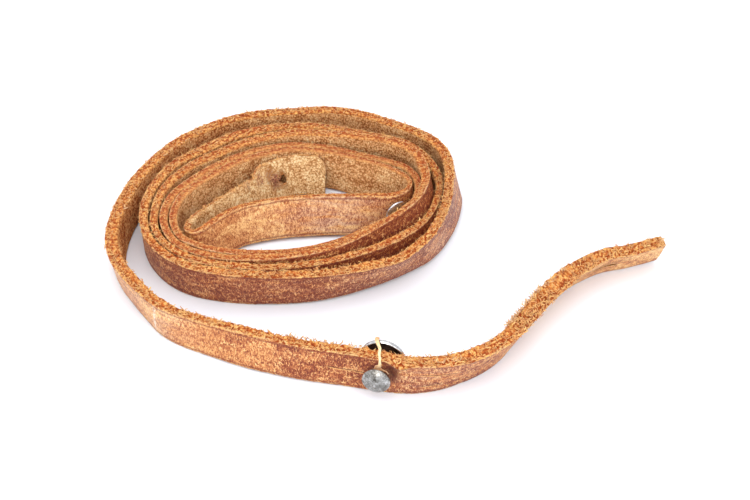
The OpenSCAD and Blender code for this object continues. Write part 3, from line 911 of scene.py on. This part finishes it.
# ---------------------------------------------------------------- loose fibres
def strand_mesh(name, middles, nudges, girths, shade, material):
    """Thin three-sided strands. middles and nudges are [strand, ring, 3], girths [strand, ring]."""
    count, rings = middles.shape[:2]
    sides = 3
    steps = np.gradient(middles, axis=1)
    steps /= np.linalg.norm(steps, axis=2)[..., None] + 1e-9
    across = np.cross(steps, nudges)
    across /= np.linalg.norm(across, axis=2)[..., None] + 1e-9
    over = np.cross(across, steps)
    points = np.zeros((count, rings, sides, 3))
    for side in range(sides):
        angle = 2 * math.pi * side / sides
        points[:, :, side] = middles + girths[..., None] * (
            across * math.cos(angle) + over * math.sin(angle))
    last = (rings - 1) * sides
    one = grid_faces(rings, sides).tolist() + [[2, 1, 0], [last, last + 1, last + 2]]
    faces = [[p + n * rings * sides for p in f] for n in range(count) for f in one]
    piece = mesh_piece(name, points.reshape(-1, 3), faces, [material],
                       {"shade": np.repeat(shade, rings * sides)})
    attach(piece, "strap")


def make_fibres():
    """Torn fibres that lie on the cut edges and stand off their corners."""
    rng = np.random.default_rng(SEED + 1)
    count, rings = 7000, 4
    ragged = lookup(RAGGED, PLACES)
    weight = 0.3 + ragged**1.5
    start = rng.choice(DISTANCES, count, p=weight / weight.sum()) + rng.uniform(-0.5, 0.5, count)
    start = np.clip(start, 1, DISTANCES[-1] - 1)
    ragged = np.interp(start, DISTANCES, ragged)
    at = np.interp(start, DISTANCES, PLACES)
    thickness, width = STRAP_T + lookup(THICK, at), STRAP_W + lookup(WIDE, at)
    across = rng.beta(1.0, 1.3, count) - 0.5
    length = rng.uniform(0.5, 1.5, count) * (0.5 + 0.6 * ragged)
    heading = rng.uniform(0, 2 * math.pi, count)
    rise = rng.uniform(-0.1, 0.25, count) * (0.4 + 0.8 * ragged)
    stands = rng.random(count) < 0.09 * ragged
    rise = np.where(stands, rng.uniform(0.4, 1, count), rise)
    length = np.where(stands, length * 0.6, length)
    bend = rng.normal(0, 0.9, count)
    thick = rng.uniform(0.05, 0.11, count) * (0.75 + 0.4 * ragged) * np.where(stands, 1.6, 1)
    shade = np.clip(rng.normal(0.6, 0.25, count), 0, 1)
    middles, girths = np.zeros((count, rings, 3)), np.zeros((count, rings))
    for k in range(rings):
        t = k / (rings - 1)
        turn = heading + bend * t
        s = start + np.cos(turn) * length * t
        a = (-across * thickness) + np.sin(turn) * length * t * 0.8
        a = np.clip(a, -thickness / 2 - 0.25, thickness / 2 + 0.25)
        h = width / 2 - 0.02 + rise * length * (t + 0.4 * t * (1 - t)) + 0.06
        middles[:, k] = on_strap(np.interp(s, DISTANCES, PLACES), a, h)
        girths[:, k] = thick * (1.05 - 0.8 * abs(t - 0.35) ** 1.5)
    up = np.broadcast_to([0.0, 0.0, 1.0], middles.shape)
    strand_mesh("edge_fibres", middles, up, girths, shade,
                fibre_leather("leather_fibre", (196, 104, 42), (248, 200, 124)))


# Torn places: place on the route, across and height from the strap's middle, spread along and
# up, how many strands, their length, the way they point (along, across, up)
TUFTS = [
    (2.75, -1.15, 0.3, 0.9, 1.5, 110, 0.9, (0.2, -0.6, -0.1)),
    (3.5, -1.1, 2.8, 0.7, 0.9, 70, 1.1, (0.4, -0.5, 0.5)),
    (4.1, -0.8, 3.2, 1.2, 0.3, 40, 1.1, (0.6, -0.2, 0.7)),
    (174.2, -2.2, 4.6, 8, 0.4, 150, 0.8, (-0.3, -0.8, 0.5)),
    (176.3, -1.9, 4.6, 6, 0.4, 80, 0.7, (-0.2, -0.8, 0.6)),
    (181.8, 0, 3, 0.4, 1.6, 60, 0.8, (0.9, 0, 0.4)),
    (166.5, -1.4, 4.8, 9, 0.3, 70, 0.7, (-0.3, -0.5, 0.7)),
    (170.4, 0.3, 4.9, 3, 0.3, 50, 0.7, (0.2, -0.2, 0.9)),
    (155, -1.2, 5, 22, 0.2, 60, 0.6, (0, -0.7, 0.6)),
]


def make_tufts():
    """Clusters of longer torn strands."""
    rng = np.random.default_rng(SEED + 3)
    middles, shades, girths = [], [], []
    for index, (at, across, height, spread, rise, count, length, towards) in enumerate(TUFTS):
        _, along, upward, face, _, _ = (x[0] for x in strap_frame(at))
        start = distance_of(at) + rng.uniform(-spread, spread, count)
        places = np.interp(np.clip(start, 0.3, END_S - 0.2), DISTANCES, PLACES)
        root = on_strap(places, across + rng.uniform(-0.3, 0.3, count),
                        height + rng.uniform(-rise, rise, count))
        aim = along * towards[0] + face * towards[1] + upward * towards[2]
        aim = aim + rng.normal(0, 0.55, (count, 3))
        aim /= np.linalg.norm(aim, axis=1)[:, None]
        curl = rng.normal(0, 0.5, (count, 3))
        reach = length * rng.uniform(0.4, 1.3, (count, 1))
        ring = [root + aim * reach * t + curl * reach * t * t * 0.7 for t in np.linspace(0, 1, 5)]
        ring = np.stack(ring, axis=1)
        ring[..., 2] = np.maximum(ring[..., 2], 0.15)
        middles.append(ring)
        shades.append(np.clip(rng.normal(0.25 if index == 0 else 0.65, 0.25, count), 0, 1))
        girths.append(rng.uniform(0.07, 0.16, (count, 1)) * np.array([1, 1.1, 1.1, 0.9, 0.6]))
    middles = np.concatenate(middles)
    strand_mesh("torn_fibres", middles, rng.normal(0, 1, (len(middles), 1, 3)) + 0 * middles,
                np.concatenate(girths), np.concatenate(shades),
                fibre_leather("leather_tuft", (150, 66, 34), (250, 206, 146)))


def ribbon(name, path, widths, depth, across, material, shade):
    """A flat strip along a smooth path, in millimetres. across is the way it is wide."""
    path, widths = np.array(path), np.array(widths)
    ends = 2 * path[[0, -1]] - path[[1, -2]]
    knots = np.vstack([ends[:1], path, ends[1:]])
    middles, spans = [], []
    for u in np.linspace(0, len(path) - 1, 10 * len(path)):
        i = min(int(u), len(path) - 2)
        t = u - i
        a, b, c, d = knots[i:i + 4]
        middles.append(0.5 * (2 * b + (c - a) * t + (2 * a - 5 * b + 4 * c - d) * t**2
                              + (3 * b - a - 3 * c + d) * t**3))
        spans.append(widths[i] + (widths[i + 1] - widths[i]) * t)
    middles, spans = np.array(middles), np.array(spans)
    step = np.gradient(middles, axis=0)
    step /= np.linalg.norm(step, axis=1)[:, None]
    side = across - step * (step @ across)[:, None]
    side /= np.linalg.norm(side, axis=1)[:, None]
    over = np.cross(side, step)
    sides = 10
    points = []
    for k in range(sides):
        angle = 2 * math.pi * k / sides
        points.append(middles + side * (spans / 2 * math.cos(angle))[:, None]
                      + over * depth / 2 * math.sin(angle))
    points = np.stack(points, axis=1)
    flat = points.reshape(-1, 3)
    flat = flat + np.column_stack([rough(flat, 0.6, 30 + k, 2) for k in range(3)]) * 0.09
    rings = len(middles)
    caps = [list(range(sides))[::-1], [(rings - 1) * sides + k for k in range(sides)]]
    piece = mesh_piece(name, flat, grid_faces(rings, sides).tolist() + caps, [material],
                       {"shade": np.interp(np.arange(rings).repeat(sides), *shade)})
    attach(piece, "strap")


def make_sliver():
    """A torn sliver that runs from the outer stud's disc over the edge down to its neck."""
    out = np.array(joints["tail_stud_spin"]["axis"])
    up = np.array([0, 0, 1.0])
    middle, along, upward, face, width, thickness = (x[0] for x in strap_frame(STUD_U))
    aside = np.cross(out, up)
    rim = TAIL_STUD - out * 3.5 + up * 5.45 + aside * 1.3
    edge, back, front = width / 2, thickness / 2, thickness / 2
    foot = TAIL_STUD + out * (front + 0.3) + up * 1.5
    path = [
        rim - out * 1.15 - up * 0.6, rim - out * 0.65 + up * 0.25, rim + out * 0.45 + up * 0.35,
        middle - face * back + upward * (edge + 0.5) + aside * 0.8,
        middle + upward * (edge + 0.35) + aside * 0.5,
        middle + face * (front + 0.1) + upward * (edge + 0.05),
        middle + face * (front + 0.25) + upward * (edge - 1.6), foot + up * 0.8, foot - up * 0.1]
    pale = fibre_leather("leather_sliver", (198, 112, 50), (252, 222, 172))
    ribbon("sliver", path, [0.6, 0.95, 0.85, 0.7, 0.6, 0.5, 0.75, 1.5, 1.9], 0.3, along, pale,
           ([0, 18, 36, 62, 76, 90], [0.25, 0.4, 1, 1, 0.5, 0.2]))
    hook = [foot + up * 0.3 + along * 0.2, foot + along * 1.2 + up * 0.25 + face * 0.2,
            foot + along * 2 + up * 0.1 + face * 0.35, foot + along * 2.5 - up * 0.5 + face * 0.3]
    ribbon("sliver_hook", hook, [0.5, 0.35, 0.3, 0.15], 0.2, up, pale, ([0, 40], [0.3, 0.7]))


make_camera()
make_strap()
make_studs()
make_fibres()
make_tufts()
make_sliver()
make_studio()
